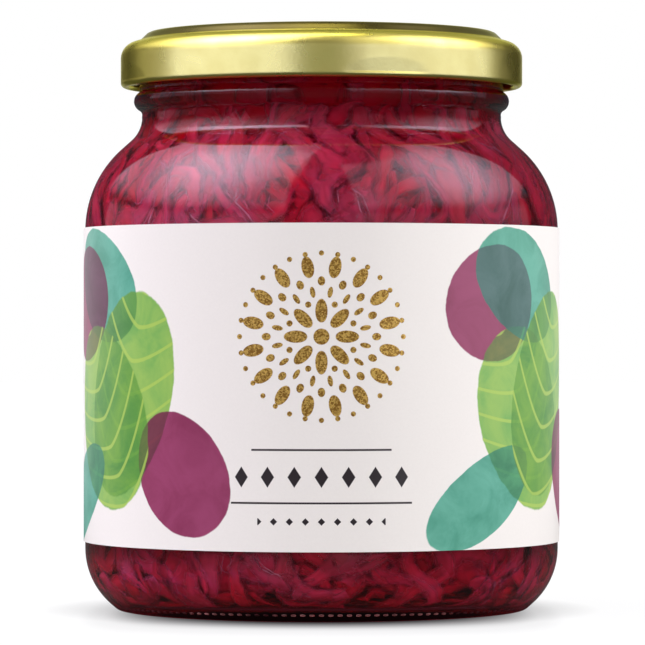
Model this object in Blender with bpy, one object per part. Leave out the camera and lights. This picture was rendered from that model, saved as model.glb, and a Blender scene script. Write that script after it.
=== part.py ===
"""A shut glass jar of beetroot sauerkraut: the glass, its twist-off lid, the wrap label and the shreds.

Metres, +Z up. The origin is the middle of the ring that the glass stands on. The front faces -Y.
"""

import math
import random

import bmesh
import bpy
from mathutils import Vector

# Driving sizes of the glass
BODY_RADIUS = 0.0403
FOOT_RADIUS = 0.0350
NECK_RADIUS = 0.0306
FINISH_RADIUS = 0.0311
FOOT_HEIGHT = 0.0011
HEEL_HEIGHT = 0.0105
HEEL_CURVE = 0.0125
SHOULDER_START = 0.0645
SHOULDER_CURVE = 0.0185
SHOULDER_TURN = 47.0
NECK_CURVE = 0.0055
NECK_HEIGHT = 0.0839
BEAD_HEIGHT = 0.0865
BEAD_RADIUS = 0.0017
BEAD_DEPTH = 0.0008
RIM_HEIGHT = 0.0963
RIM_CURVE = 0.0009
WALL = 0.0022
FLOOR_HEIGHT = 0.0030
FLOOR_RISE = 0.0011
FLOOR_CORNER = 0.006
CORNER_STEPS = 4
PUNT_HEIGHT = 0.0010
PUNT_RISE = 0.0007
RING_INNER = 0.0322
RING_SLOPE = 0.0010

# The four right-hand thread ridges round the finish, and the four lugs of the lid that hook under them.
# Each lug is under the middle of its ridge. The first is a little to the right of the front, at -90 degrees.
STARTS = 4
FIRST_LUG = -71.5
THREAD_SPAN = 62.0
THREAD_MIDDLE = 0.0914
THREAD_RISE = 0.0016
THREAD_HEIGHT = 0.0010
THREAD_WIDTH = 0.0014
THREAD_CREST = 0.4
THREAD_ROOT = 0.0004
THREAD_STATIONS = 8
LUG_SPAN = 16.0
LUG_DEPTH = 0.0012
LUG_LIFT = 0.0002
LUG_HEIGHT = 0.0013
LUG_TAPER = 0.2
LUG_STATIONS = 4
RUN_OUT = 0.2

# Lid
LID_RADIUS = 0.03425
LID_TOP = 0.0982
LID_BOTTOM = 0.08885
LID_METAL = 0.0003
LID_SHOULDER = 0.0028
LID_LEDGE = 0.0966
LEDGE_SLOPE = 0.0002
RIDGE_RADIUS = 0.0300
RIDGE_FOOT = 0.0312
RIDGE_WIDTH = 0.0014
RIDGE_SLOPE = 0.0008
RIDGE_EDGE = 0.0004
PANEL_DROP = 0.0012
BUTTON_RADIUS = 0.0130
BUTTON_RISE = 0.00035
BUTTON_EDGE = 0.001
CURL_RADIUS = 0.00075
CURL_HEIGHT = 0.00165

# Label
LABEL_BOTTOM = 0.0117
LABEL_TOP = 0.0649
LABEL_PAPER = 0.00015

# Sauerkraut: a core with the shreds that lie against the glass fused on
FILL_HEIGHT = 0.0910
FILL_EDGE = 0.0015
SHRED_RELIEF = 0.0012
SHRED_THICKNESS = 0.0010
SHRED_NARROW = 0.0014
SHRED_WIDE = 0.0024
SHRED_LIFT = (0.25, 0.4)
SHRED_CROWN = 0.8
SHRED_END = 0.6
SHRED_STEPS = (2, 4)
SHRED_STEP = 0.0065
SHRED_BEND = 45.0
SHRED_SEED = 41
GOLDEN_ANGLE = math.radians(137.508)

# Shreds on each stretch of the core, counted along its outline from the edge of the floor
FLOOR_SHREDS = 6
HEEL_SHREDS = 16
HEEL_STRETCH = 0.012
SHOULDER_SHREDS = 30
SHOULDER_START_STRETCH = 0.060
SHOULDER_END_STRETCH = 0.086

GAP = 0.0003
SHARP_ANGLE = math.radians(35)
SEGMENTS = 48
HEAP_SEGMENTS = 28
WALL_RINGS = 3


def clear_scene():
    for thing in list(bpy.data.objects):
        bpy.data.objects.remove(thing, do_unlink=True)


def finish(name, colour, roughness, metallic=0.0, transmission=0.0):
    """A Principled material of one finish."""
    material = bpy.data.materials.new(name)
    material.use_nodes = True
    shader = material.node_tree.nodes["Principled BSDF"]
    shader.inputs["Base Color"].default_value = (*colour, 1.0)
    shader.inputs["Roughness"].default_value = roughness
    shader.inputs["Metallic"].default_value = metallic
    shader.inputs["Transmission Weight"].default_value = transmission
    return material


def arc(centre, radius, start, end, steps):
    """Points (r, z) along an arc, from one angle to another in degrees, both ends included."""
    turns = [math.radians(start + (end - start) * i / steps) for i in range(steps + 1)]
    return [(centre[0] + radius * math.cos(t), centre[1] + radius * math.sin(t)) for t in turns]


def offset_inwards(outline, distance):
    """An open outline moved to its right-hand side by the same distance everywhere."""
    moved = []
    for i, point in enumerate(outline):
        before = Vector(outline[max(i - 1, 0)])
        after = Vector(outline[min(i + 1, len(outline) - 1)])
        first = (Vector(point) - before).normalized() if i else Vector((0, 0))
        second = (after - Vector(point)).normalized() if i < len(outline) - 1 else Vector((0, 0))
        along = (first + second).normalized()
        side = Vector((along.y, -along.x))
        leading = first if i else second
        stretch = 1 / max(side.dot(Vector((leading.y, -leading.x))), 0.5)
        moved.append(tuple(Vector(point) + side * distance * stretch))
    return moved


def new_object(name, build, material):
    """A smooth-shaded object whose closed mesh is what build left in the bmesh, facing out."""
    bmesh.ops.recalc_face_normals(build, faces=build.faces)
    mesh = bpy.data.meshes.new(name)
    build.to_mesh(mesh)
    build.free()
    mesh.shade_smooth()
    mesh.set_sharp_from_angle(angle=SHARP_ANGLE)
    mesh.materials.append(material)
    made = bpy.data.objects.new(name, mesh)
    bpy.context.scene.collection.objects.link(made)
    return made


def lathe(name, outline, material, segments=SEGMENTS, closed=False):
    """Spins an outline of (r, z) points round the Z axis: from the axis to the axis, or a closed ring."""
    build = bmesh.new()
    corners = [build.verts.new((r, 0.0, z)) for r, z in outline]
    edges = [build.edges.new(pair) for pair in zip(corners, corners[1:])]
    if closed:
        edges.append(build.edges.new((corners[-1], corners[0])))
    bmesh.ops.spin(
        build,
        geom=corners + edges,
        axis=(0, 0, 1),
        cent=(0, 0, 0),
        angle=math.tau,
        steps=segments,
        use_merge=True,
    )
    bmesh.ops.remove_doubles(build, verts=build.verts, dist=1e-7)
    return new_object(name, build, material)


def skin(name, rings, material):
    """A closed bar through rings of the same number of points, with a face over each end."""
    build = bmesh.new()
    loops = [[build.verts.new(point) for point in ring] for ring in rings]
    for loop, following in zip(loops, loops[1:]):
        for i in range(len(loop)):
            j = (i + 1) % len(loop)
            build.faces.new((loop[i], loop[j], following[j], following[i]))
    build.faces.new(loops[0])
    build.faces.new(reversed(loops[-1]))
    bmesh.ops.triangulate(build, faces=build.faces)
    return new_object(name, build, material)


def fuse(body, pieces):
    """Joins the pieces to the body with one applied Boolean union, and removes them."""
    group = bpy.data.collections.new(body.name + "_pieces")
    bpy.context.scene.collection.children.link(group)
    for piece in pieces:
        bpy.context.scene.collection.objects.unlink(piece)
        group.objects.link(piece)
    union = body.modifiers.new("fuse", "BOOLEAN")
    union.operation = "UNION"
    union.operand_type = "COLLECTION"
    union.collection = group
    union.solver = "EXACT"
    graph = bpy.context.evaluated_depsgraph_get()
    joined = bpy.data.meshes.new_from_object(body.evaluated_get(graph))
    body.modifiers.clear()
    body.data = joined
    keep_largest_shell(body.data)
    body.data.set_sharp_from_angle(angle=SHARP_ANGLE)
    for piece in pieces:
        bpy.data.objects.remove(piece, do_unlink=True)
    bpy.data.collections.remove(group)


def keep_largest_shell(mesh):
    """Drops loose scraps, and the walls of sealed hollows, which fills them."""
    build = bmesh.new()
    build.from_mesh(mesh)
    unseen = set(build.verts)
    shells = []
    while unseen:
        edge_of_search = [unseen.pop()]
        shell = list(edge_of_search)
        while edge_of_search:
            corner = edge_of_search.pop()
            found = {edge.other_vert(corner) for edge in corner.link_edges} & unseen
            unseen -= found
            edge_of_search.extend(found)
            shell.extend(found)
        shells.append(shell)
    shells.sort(key=len)
    for shell in shells[:-1]:
        bmesh.ops.delete(build, geom=shell, context="VERTS")
    build.to_mesh(mesh)
    build.free()


def polar(radius, angle, z):
    return (radius * math.cos(angle), radius * math.sin(angle), z)


def start_angles():
    """Where the lugs are round the lid, in radians."""
    return [math.radians(FIRST_LUG) + math.tau * i / STARTS for i in range(STARTS)]


def outer_wall():
    """The outside of the glass from the foot to the rim."""
    heel_end = -math.degrees(math.asin((HEEL_HEIGHT - FOOT_HEIGHT) / HEEL_CURVE))
    foot = [(FOOT_RADIUS, 0.0)]
    heel = arc((BODY_RADIUS - HEEL_CURVE, HEEL_HEIGHT), HEEL_CURVE, heel_end, 0, 6)
    shoulder = arc((BODY_RADIUS - SHOULDER_CURVE, SHOULDER_START), SHOULDER_CURVE, 0, SHOULDER_TURN, 6)
    neck = arc((NECK_RADIUS + NECK_CURVE, NECK_HEIGHT), NECK_CURVE, 180 + SHOULDER_TURN, 180, 3)
    bead_turn = math.degrees(math.acos(BEAD_DEPTH / BEAD_RADIUS))
    bead = arc((FINISH_RADIUS - BEAD_DEPTH, BEAD_HEIGHT), BEAD_RADIUS, -bead_turn, bead_turn, 4)
    rim = arc((FINISH_RADIUS - RIM_CURVE, RIM_HEIGHT - RIM_CURVE), RIM_CURVE, 0, 90, 2)
    return foot + heel + shoulder + neck + bead + rim


def dome(height, rise, radius):
    """A low dome (r, z) from its top on the axis to its edge."""
    return [(radius * share, height + rise * (1 - share * share)) for share in (0.0, 0.5, 1.0)]


def cavity_wall(inset=0.0):
    """The inside of the glass from the edge of its floor to the neck, moved in by inset."""
    body = BODY_RADIUS - WALL
    shoulder_centre = (BODY_RADIUS - SHOULDER_CURVE, SHOULDER_START)
    neck_centre = (NECK_RADIUS + NECK_CURVE, NECK_HEIGHT)
    corner_centre = (body - FLOOR_CORNER, FLOOR_HEIGHT + FLOOR_CORNER)
    corner = arc(corner_centre, FLOOR_CORNER - inset, -90, 0, CORNER_STEPS)
    shoulder = arc(shoulder_centre, SHOULDER_CURVE - WALL - inset, 0, SHOULDER_TURN, 4)
    neck = arc(neck_centre, NECK_CURVE + WALL + inset, 180 + SHOULDER_TURN, 180, 2)
    return corner + shoulder + neck


def thread_ridge(middle, material):
    """One rising ridge of the finish. Its ends run out into the wall."""
    rings = []
    half = THREAD_WIDTH / 2
    crest = half * THREAD_CREST
    inner = FINISH_RADIUS - THREAD_ROOT
    for i in range(THREAD_STATIONS + 1):
        share = i / THREAD_STATIONS - 0.5
        angle = middle + math.radians(THREAD_SPAN) * share
        z = THREAD_MIDDLE + THREAD_RISE * share
        outer = FINISH_RADIUS + THREAD_HEIGHT * (RUN_OUT if i in (0, THREAD_STATIONS) else 1.0)
        rings.append(
            [
                polar(inner, angle, z - half),
                polar(outer, angle, z - crest),
                polar(outer, angle, z + crest),
                polar(inner, angle, z + half),
            ]
        )
    return skin("thread_ridge", rings, material)


def glass_jar():
    glass = finish("clear_glass", (0.93, 0.97, 0.95), 0.02, transmission=1.0)
    underside = dome(PUNT_HEIGHT, PUNT_RISE, RING_INNER - RING_SLOPE) + [(RING_INNER, 0.0)]
    bore = NECK_RADIUS - WALL
    mouth = [(bore, RIM_HEIGHT - RIM_CURVE), (bore + RIM_CURVE, RIM_HEIGHT)]
    inside = cavity_wall()
    floor = dome(FLOOR_HEIGHT, FLOOR_RISE, inside[0][0])[:-1]
    inner = floor + inside + mouth
    jar = lathe("glass_jar", underside + outer_wall() + inner[::-1], glass)
    ridges = [thread_ridge(angle, glass) for angle in start_angles()]
    fuse(jar, ridges)
    return jar


def lid_sheet():
    """The outer face of the pressed lid, from the middle of the panel to the top of the curl."""
    panel = LID_TOP - PANEL_DROP
    crown = panel + BUTTON_RISE
    button = [(0.0, crown), (BUTTON_RADIUS - BUTTON_EDGE, crown), (BUTTON_RADIUS, panel)]
    crest_inner = RIDGE_RADIUS - RIDGE_WIDTH
    ridge = [
        (crest_inner - RIDGE_SLOPE, panel),
        (crest_inner, LID_TOP - RIDGE_EDGE),
        (crest_inner + RIDGE_EDGE, LID_TOP),
        (RIDGE_RADIUS - RIDGE_EDGE, LID_TOP),
        (RIDGE_RADIUS, LID_TOP - RIDGE_EDGE),
        (RIDGE_FOOT, LID_LEDGE + LEDGE_SLOPE),
    ]
    shoulder_centre = (LID_RADIUS - LID_SHOULDER, LID_LEDGE - LID_SHOULDER)
    shoulder = arc(shoulder_centre, LID_SHOULDER, 90, 0, 3)
    return button + ridge + shoulder + [(LID_RADIUS, LID_BOTTOM + CURL_RADIUS)]


def lid_lug(middle, material):
    """A pressed lug: the curl reaches in under a thread ridge."""
    rings = []
    low = LID_BOTTOM + LUG_LIFT
    outer = LID_RADIUS - CURL_RADIUS
    for i in range(LUG_STATIONS + 1):
        angle = middle + math.radians(LUG_SPAN) * (i / LUG_STATIONS - 0.5)
        depth = LUG_DEPTH * (RUN_OUT if i in (0, LUG_STATIONS) else 1.0)
        inner = LID_RADIUS - 2 * CURL_RADIUS - depth
        rings.append(
            [
                polar(outer, angle, low),
                polar(inner, angle, low + LUG_HEIGHT * LUG_TAPER),
                polar(inner, angle, low + LUG_HEIGHT * (1 - LUG_TAPER)),
                polar(outer, angle, low + LUG_HEIGHT),
            ]
        )
    return skin("lid_lug", rings, material)


def twist_lid():
    gold = finish("gold_lacquer", (0.72, 0.62, 0.24), 0.32, metallic=1.0)
    sheet = lid_sheet()
    inner = offset_inwards(sheet, LID_METAL)
    inner[0] = (0.0, inner[0][1])
    curl_centre = (LID_RADIUS - CURL_RADIUS, LID_BOTTOM + CURL_RADIUS)
    curl = arc(curl_centre, CURL_RADIUS, 0, -225, 5)
    curl_root = [(LID_RADIUS - LID_METAL, LID_BOTTOM + CURL_HEIGHT)]
    lid = lathe("twist_lid", sheet[:-1] + curl + curl_root + inner[-2::-1], gold)
    lugs = [lid_lug(angle, gold) for angle in start_angles()]
    fuse(lid, lugs)
    return lid


def wrap_label():
    paper = finish("label_paper", (0.87, 0.85, 0.84), 0.55)
    inner = BODY_RADIUS + GAP
    outer = inner + LABEL_PAPER
    ring = [(inner, LABEL_BOTTOM), (outer, LABEL_BOTTOM), (outer, LABEL_TOP), (inner, LABEL_TOP)]
    return lathe("wrap_label", ring, paper, closed=True)


def heap_outline():
    """The core of the sauerkraut: the inside of the glass, moved in to leave room for the shreds."""
    inset = GAP + SHRED_RELIEF
    wall = cavity_wall(inset)
    straight_start = wall[CORNER_STEPS]
    straight_end = wall[CORNER_STEPS + 1]
    rings = [
        (straight_start[0], straight_start[1] + (straight_end[1] - straight_start[1]) * i / WALL_RINGS)
        for i in range(1, WALL_RINGS)
    ]
    wall = wall[: CORNER_STEPS + 1] + rings + wall[CORNER_STEPS + 1 :]
    edge_radius, edge_height = wall[0]
    floor = dome(edge_height, FLOOR_RISE, edge_radius)[:-1]
    top_radius = wall[-1][0]
    top = [
        (top_radius, FILL_HEIGHT - FILL_EDGE),
        (top_radius - FILL_EDGE, FILL_HEIGHT),
        (0.0, FILL_HEIGHT - FILL_EDGE / 2),
    ]
    return floor + wall + top


def along_outline(outline, distance):
    """The point (r, z) at a distance along the outline, and the direction there."""
    walked = 0.0
    for start, end in zip(outline, outline[1:]):
        leg = Vector(end) - Vector(start)
        if walked + leg.length >= distance:
            break
        walked += leg.length
    return Vector(start) + leg.normalized() * (distance - walked), leg.normalized()


def core_frame(outline, distance, around):
    """A point of the core, and the directions up its outline, round it and out of it."""
    place, meridian = along_outline(outline, distance)
    outward = Vector((math.cos(around), math.sin(around), 0.0))
    sideways = Vector((-math.sin(around), math.cos(around), 0.0))
    rise = Vector((0.0, 0.0, 1.0))
    middle = outward * place.x + rise * place.y
    up = outward * meridian.x + rise * meridian.y
    normal = outward * meridian.y - rise * meridian.x
    return middle, up, sideways, normal


def shred(outline, distance, around, draw, material):
    """One flat shred that bends over the core, sunk in it along its inner side."""
    heading = draw.uniform(0.0, math.tau)
    bend = draw.uniform(-SHRED_BEND, SHRED_BEND)
    width = draw.uniform(SHRED_NARROW, SHRED_WIDE)
    lift = SHRED_THICKNESS * draw.uniform(*SHRED_LIFT)
    steps = draw.randint(*SHRED_STEPS)
    rings = []
    for i in range(steps + 1):
        middle, up, sideways, normal = core_frame(outline, distance, around)
        across = up * math.cos(heading) - sideways * math.sin(heading)
        share = SHRED_END if i in (0, steps) else 1.0
        half_width = across * (width / 2 * share)
        half_thick = normal * (SHRED_THICKNESS / 2 * share)
        middle = middle + normal * lift
        rings.append(
            [
                middle - half_width - half_thick,
                middle + half_width - half_thick,
                middle + half_width * SHRED_CROWN + half_thick,
                middle - half_width * SHRED_CROWN + half_thick,
            ]
        )
        distance = max(distance + SHRED_STEP * math.sin(heading), SHRED_STEP)
        around += SHRED_STEP * math.cos(heading) / middle.xy.length
        heading += bend * SHRED_STEP
    return skin("shred", rings, material)


def sauerkraut():
    """The heap. Shreds lie thickest where the glass shows them, below and above the label."""
    dyed = finish("beet_dyed_cabbage", (0.42, 0.03, 0.10), 0.35)
    outline = heap_outline()
    heap = lathe("sauerkraut", outline, dyed, segments=HEAP_SEGMENTS)
    draw = random.Random(SHRED_SEED)
    floor_edge = outline[2][0]
    stretches = (
        (floor_edge / 3, floor_edge, FLOOR_SHREDS),
        (floor_edge, floor_edge + HEEL_STRETCH, HEEL_SHREDS),
        (floor_edge + SHOULDER_START_STRETCH, floor_edge + SHOULDER_END_STRETCH, SHOULDER_SHREDS),
    )
    shreds = []
    for start, end, count in stretches:
        for i in range(count):
            distance = start + (end - start) * (i + 0.5) / count
            shreds.append(shred(outline, distance, i * GOLDEN_ANGLE, draw, dyed))
    fuse(heap, shreds)
    return heap


clear_scene()
glass_jar()
twist_lid()
wrap_label()
sauerkraut()
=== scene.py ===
# %% [markdown]
# # A jar of beetroot sauerkraut
#
# The real thing is a small glass jar, shut with a gold twist-off lid and wrapped in a paper label. Inside
# are shreds of white cabbage that beetroot juice has dyed ruby. The CAD model gives the sizes and the
# places. This lesson dresses it: each CAD solid is replaced by a finer piece of the same form, with a
# material of its own. All sizes are in metres, with Z up. The front of the label faces -Y.

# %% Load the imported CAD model
import math

import bmesh
import bpy
import numpy as np
from mathutils import Matrix, Vector


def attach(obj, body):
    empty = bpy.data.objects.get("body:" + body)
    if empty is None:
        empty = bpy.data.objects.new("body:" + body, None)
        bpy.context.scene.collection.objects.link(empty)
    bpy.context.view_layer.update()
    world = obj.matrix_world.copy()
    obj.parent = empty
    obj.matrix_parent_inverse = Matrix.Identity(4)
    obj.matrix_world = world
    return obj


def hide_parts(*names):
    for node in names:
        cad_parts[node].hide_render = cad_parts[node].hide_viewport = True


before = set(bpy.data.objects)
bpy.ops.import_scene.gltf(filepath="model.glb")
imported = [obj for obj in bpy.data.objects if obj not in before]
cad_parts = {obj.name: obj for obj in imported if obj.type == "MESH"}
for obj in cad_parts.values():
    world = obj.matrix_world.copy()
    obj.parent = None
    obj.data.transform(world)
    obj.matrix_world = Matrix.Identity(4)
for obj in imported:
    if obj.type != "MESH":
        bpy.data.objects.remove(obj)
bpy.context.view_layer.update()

# %% [markdown]
# ## The sizes of the glass
#
# A pressed jar is a turned shape, so a few radii and heights describe it. They are the values that the CAD
# model was made from. Naming them once keeps the glass, its brine and its cabbage in step.

# %% Sizes of the glass
BODY_RADIUS = 0.0403
HEEL_HEIGHT = 0.0105
HEEL_CURVE = 0.0125
SHOULDER_START = 0.0645
SHOULDER_CURVE = 0.0185
SHOULDER_TURN = 47.0
NECK_RADIUS = 0.0306
NECK_CURVE = 0.0055
NECK_HEIGHT = 0.0839
FINISH_RADIUS = 0.0311
RIM_HEIGHT = 0.0963
RIM_CURVE = 0.0009
WALL = 0.0022
FLOOR_HEIGHT = 0.0030
FLOOR_RISE = 0.0011
FLOOR_CORNER = 0.006
print("body", BODY_RADIUS * 2000, "mm across, neck", NECK_RADIUS * 2000, "mm")

# %% [markdown]
# ## Drawing an outline
#
# A turned piece starts as half of its section, drawn in the XZ plane. It could be typed in as a long list
# of points, but two of Blender's operators draw it better. Extruding the last point gives a straight line,
# and spinning it about a centre gives a true arc. The same spin then turns the whole outline round the Z
# axis. A quarter turn and two mirrors are much faster than a full turn of hundreds of steps.

# %% Draw with extrude and spin
def start_at(build, r, z):
    return bmesh.ops.create_vert(build, co=(r, 0, z))["vert"][0]


def line_to(build, corner, r, z, steps=1):
    """Extrudes the last point of an outline to a new place, in equal steps."""
    step = (Vector((r, 0, z)) - corner.co) / steps
    for _ in range(steps):
        made = bmesh.ops.extrude_vert_indiv(build, verts=[corner])
        corner = made["verts"][0]
        bmesh.ops.translate(build, verts=[corner], vec=step)
    return corner


def arc_about(build, corner, r, z, turn, steps):
    """Spins the last point about a centre by some degrees, anticlockwise in the drawing."""
    made = bmesh.ops.spin(
        build,
        geom=[corner],
        cent=(r, 0, z),
        axis=(0, -1, 0),
        angle=math.radians(turn),
        steps=steps,
    )
    return made["geom_last"][0]


def turn_round(build, steps):
    """Spins a drawn outline a quarter turn, mirrors that twice, and closes the seams and the poles."""
    bmesh.ops.spin(
        build,
        geom=build.verts[:] + build.edges[:],
        cent=(0, 0, 0),
        axis=(0, 0, 1),
        angle=math.radians(90),
        steps=steps // 4,
    )
    for axis in ("X", "Y"):
        whole = build.verts[:] + build.edges[:] + build.faces[:]
        bmesh.ops.mirror(build, geom=whole, merge_dist=1e-6, axis=axis)
    bmesh.ops.remove_doubles(build, verts=build.verts, dist=1e-6)
    bmesh.ops.recalc_face_normals(build, faces=build.faces)


def dome_radius(half_width, rise):
    return (half_width**2 + rise**2) / (2 * rise)


# %% [markdown]
# ## From a bmesh to a piece
#
# Every piece is finished in the same way: its bmesh becomes an object at the origin, shaded smooth, and it
# rides on the jar's one body. Sharp edges are marked by their angle.

# %% Make a piece
def new_object(name, data):
    made = bpy.data.objects.new(name, data)
    bpy.context.scene.collection.objects.link(made)
    return made


def piece(name, build, sharp=60):
    mesh = bpy.data.meshes.new(name)
    build.to_mesh(mesh)
    build.free()
    return piece_of_mesh(name, mesh, sharp)


def piece_of_mesh(name, mesh, sharp=60):
    mesh.shade_smooth()
    mesh.set_sharp_from_angle(angle=math.radians(sharp))
    made = new_object(name, mesh)
    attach(made, "root")
    mesh.calc_loop_triangles()
    print(name, len(mesh.loop_triangles), "triangles")
    return made


# %% [markdown]
# ## The glass
#
# The jar is one shell of clear glass. Outside it has a rounded heel and shoulders, a short neck and a bead
# under the lid. Inside it keeps an even wall down to a thicker base with a shallow dome. The outline runs
# from the middle of the underside up the outside, over the rim, and down the inside again.

# %% Outline of the outside
FOOT_INNER = 0.0322
FOOT_OUTER = 0.03422
FOOT_CURVE = 0.0015
PUNT_HEIGHT = 0.0010
PUNT_RISE = 0.0007
BEAD_HEIGHT = 0.0865
BEAD_RADIUS = 0.0017
BEAD_DEPTH = 0.0008
FILLET = 0.000945
HEEL_TIP = 0.0011
SEAM_RING_HEIGHT = 0.0838
FINISH_RINGS = 26


def draw_underside(build):
    edge = FOOT_INNER - 0.001
    radius = dome_radius(edge, PUNT_RISE)
    turn = math.degrees(math.asin(edge / radius))
    corner = start_at(build, 0, PUNT_HEIGHT + PUNT_RISE)
    corner = arc_about(build, corner, 0, PUNT_HEIGHT + PUNT_RISE - radius, -turn, 6)
    corner = line_to(build, corner, FOOT_INNER - 0.0004, 0.0004, 2)
    corner = line_to(build, corner, FOOT_INNER, 0)
    return line_to(build, corner, FOOT_OUTER, 0, 4)


def draw_outside(build, corner):
    heel_start = -math.degrees(math.asin((HEEL_HEIGHT - HEEL_TIP) / HEEL_CURVE))
    heel_centre = BODY_RADIUS - HEEL_CURVE
    corner = arc_about(build, corner, FOOT_OUTER, FOOT_CURVE, 90 + heel_start, 5)
    tip = heel_centre + HEEL_CURVE * math.cos(math.radians(heel_start))
    corner = line_to(build, corner, tip, HEEL_TIP)
    corner = arc_about(build, corner, heel_centre, HEEL_HEIGHT, -heel_start, 14)
    corner = line_to(build, corner, BODY_RADIUS, SHOULDER_START, 4)
    corner = arc_about(build, corner, BODY_RADIUS - SHOULDER_CURVE, SHOULDER_START, SHOULDER_TURN, 16)
    neck_centre = NECK_RADIUS + NECK_CURVE
    turn = math.radians(180 + SHOULDER_TURN)
    foot_of_neck = (neck_centre + NECK_CURVE * math.cos(turn), NECK_HEIGHT + NECK_CURVE * math.sin(turn))
    corner = line_to(build, corner, *foot_of_neck)
    return arc_about(build, corner, neck_centre, NECK_HEIGHT, -SHOULDER_TURN, 20)


def draw_bead(build, corner):
    lean = math.degrees(math.acos(BEAD_DEPTH / BEAD_RADIUS))
    centre = FINISH_RADIUS - BEAD_DEPTH
    bead_foot = BEAD_HEIGHT - BEAD_RADIUS * math.sin(math.radians(lean))
    fillet_foot = bead_foot - FILLET * math.sin(math.radians(lean))
    corner = line_to(build, corner, NECK_RADIUS, fillet_foot)
    corner = arc_about(build, corner, NECK_RADIUS + FILLET, fillet_foot, -lean, 5)
    corner = arc_about(build, corner, centre, BEAD_HEIGHT, 2 * lean, 16)
    return line_to(build, corner, FINISH_RADIUS, RIM_HEIGHT - RIM_CURVE, FINISH_RINGS)


# %% [markdown]
# The inside is drawn by a function of its own, because the brine and the core of the cabbage follow the
# same line. Its inset says how far from the glass the line is: nothing for the glass, and less than nothing
# for the brine, which has to reach a little way into the wall so that no air shows between them.

# %% Outline of the inside
def draw_inside(build, corner, inset=0.0, rings=3):
    """From the bore of the neck down to the middle of the floor."""
    body = BODY_RADIUS - WALL
    bore = NECK_RADIUS - WALL - inset
    shoulder_centre = BODY_RADIUS - SHOULDER_CURVE
    shoulder = SHOULDER_CURVE - WALL - inset
    turn = math.radians(SHOULDER_TURN)
    corner = line_to(build, corner, bore, NECK_HEIGHT)
    corner = arc_about(build, corner, NECK_RADIUS + NECK_CURVE, NECK_HEIGHT, SHOULDER_TURN, 10)
    top = (shoulder_centre + shoulder * math.cos(turn), SHOULDER_START + shoulder * math.sin(turn))
    corner = line_to(build, corner, *top, 2)
    corner = arc_about(build, corner, shoulder_centre, SHOULDER_START, -SHOULDER_TURN, 14)
    corner_height = FLOOR_HEIGHT + FLOOR_CORNER
    corner = line_to(build, corner, body - inset, corner_height, rings)
    corner = arc_about(build, corner, body - FLOOR_CORNER, corner_height, -90, 10)
    half = corner.co.x
    radius = dome_radius(half, FLOOR_RISE)
    low = corner.co.z
    dome = math.degrees(math.asin(half / radius))
    corner = arc_about(build, corner, 0, low + FLOOR_RISE - radius, dome, 8)
    return corner


# %% Turn the glass
GLASS_STEPS = 432


def draw_rim(build, corner):
    bore = NECK_RADIUS - WALL
    height = RIM_HEIGHT - RIM_CURVE
    corner = arc_about(build, corner, FINISH_RADIUS - RIM_CURVE, height, 90, 5)
    corner = line_to(build, corner, bore + RIM_CURVE, RIM_HEIGHT)
    return arc_about(build, corner, bore + RIM_CURVE, height, 90, 5)


glass_build = bmesh.new()
glass_corner = draw_underside(glass_build)
glass_corner = draw_outside(glass_build, glass_corner)
glass_corner = draw_bead(glass_build, glass_corner)
glass_corner = draw_rim(glass_build, glass_corner)
draw_inside(glass_build, glass_corner)
turn_round(glass_build, GLASS_STEPS)
print("glass:", len(glass_build.verts), "corners")

# %% [markdown]
# Three things aren't turned: the four thread ridges that the lid's lugs hook under, the fine ring that the
# mould's parting leaves round the neck, and the row of little knurls on the standing ring, which keep the
# hot glass off the conveyor. They could be separate pieces joined by a Boolean. The mesh is fine enough
# here to move its own corners in or out instead, which keeps one clean skin.

# %% Threads, parting line and knurls
ON_SKIN = 1e-5
BEAD_TOP = 0.0882
STARTS = 4
FIRST_LUG = math.radians(-71.5)
THREAD_SPAN = math.radians(62)
THREAD_MIDDLE = 0.0914
THREAD_RISE = 0.0016
THREAD_HEIGHT = 0.0010
THREAD_HALF = 0.0008
PARTING_HEIGHT = 0.00005
PARTING_HALF = 0.00035
NECK_LOW, NECK_HIGH = 0.079, 0.0846
KNURLS = 144
KNURL_DEPTH = 0.00028


def from_nearest_start(angle):
    """How far round a point is from the middle of the nearest thread, in radians."""
    quarter = math.tau / STARTS
    return (angle - FIRST_LUG + quarter / 2) % quarter - quarter / 2


def bump(x):
    """A smooth hump: 1 at 0, and 0 from 1 outwards."""
    return 0.5 + 0.5 * math.cos(math.pi * min(abs(x), 1.0))


def push_out(corner, distance):
    away = Vector((corner.co.x, corner.co.y, 0)).normalized()
    corner.co += away * distance


for corner in glass_build.verts:
    radius = corner.co.xy.length
    height = corner.co.z
    angle = math.atan2(corner.co.y, corner.co.x)
    if radius > FINISH_RADIUS - ON_SKIN and height > BEAD_TOP:
        share = from_nearest_start(angle) / THREAD_SPAN
        middle = THREAD_MIDDLE + THREAD_RISE * share
        run_out = min(1.0, max(0.0, (0.5 - abs(share)) * 8))
        push_out(corner, THREAD_HEIGHT * run_out * bump((height - middle) / THREAD_HALF))
    elif radius > NECK_RADIUS - ON_SKIN and NECK_LOW < height < NECK_HIGH:
        push_out(corner, PARTING_HEIGHT * bump((height - SEAM_RING_HEIGHT) / PARTING_HALF))
    elif height < ON_SKIN and FOOT_INNER < radius:
        across = (radius - (FOOT_INNER + FOOT_OUTER) / 2) / (FOOT_OUTER - FOOT_INNER) * 2
        knurl = 0.5 + 0.5 * math.cos(KNURLS * angle)
        corner.co.z += KNURL_DEPTH * (1 - knurl * bump(across * 0.9))


# %% [markdown]
# Glass shines because it bends light far more than air does. Against the brine it bends it only a little
# more, so the wetted inside of the wall has next to no shine. Its faces are marked here for a finish of
# their own. The rest of the glass above NECK_FOOT, the bead aside, gets a third finish whose shine is
# turned down: a painted shade on the neck's reflection.

# %% Mark the wetted wall
NECK_FOOT = 0.0812
FLOOR_REACH = 0.0115
BRINE_HEIGHT = 0.0948

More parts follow.
